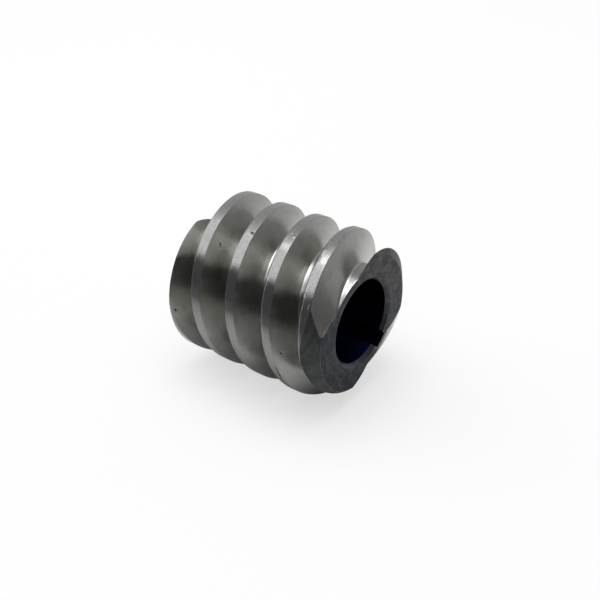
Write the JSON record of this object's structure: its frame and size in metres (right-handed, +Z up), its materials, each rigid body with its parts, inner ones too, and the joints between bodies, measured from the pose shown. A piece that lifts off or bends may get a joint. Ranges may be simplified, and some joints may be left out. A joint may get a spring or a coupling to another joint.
{
  "type": "shell worm",
  "caption": "Right-hand multi-start shell worm of a gearbox, with deep thread grooves, bevelled ends and a plain bore with a full-length keyway.",
  "frame": {"origin": "on the bore's axis at mid-length", "axes": "+X along the bore to the front face, +Z up with the worm lying on its side"},
  "size_m": [0.054, 0.05, 0.05],
  "materials": {
    "ground_steel": "ground thread, bright turned crests, dark heat-treated end faces and bore"
  },
  "bodies": {
    "root": {"worm": "ground_steel"}
  },
  "joints": []
}
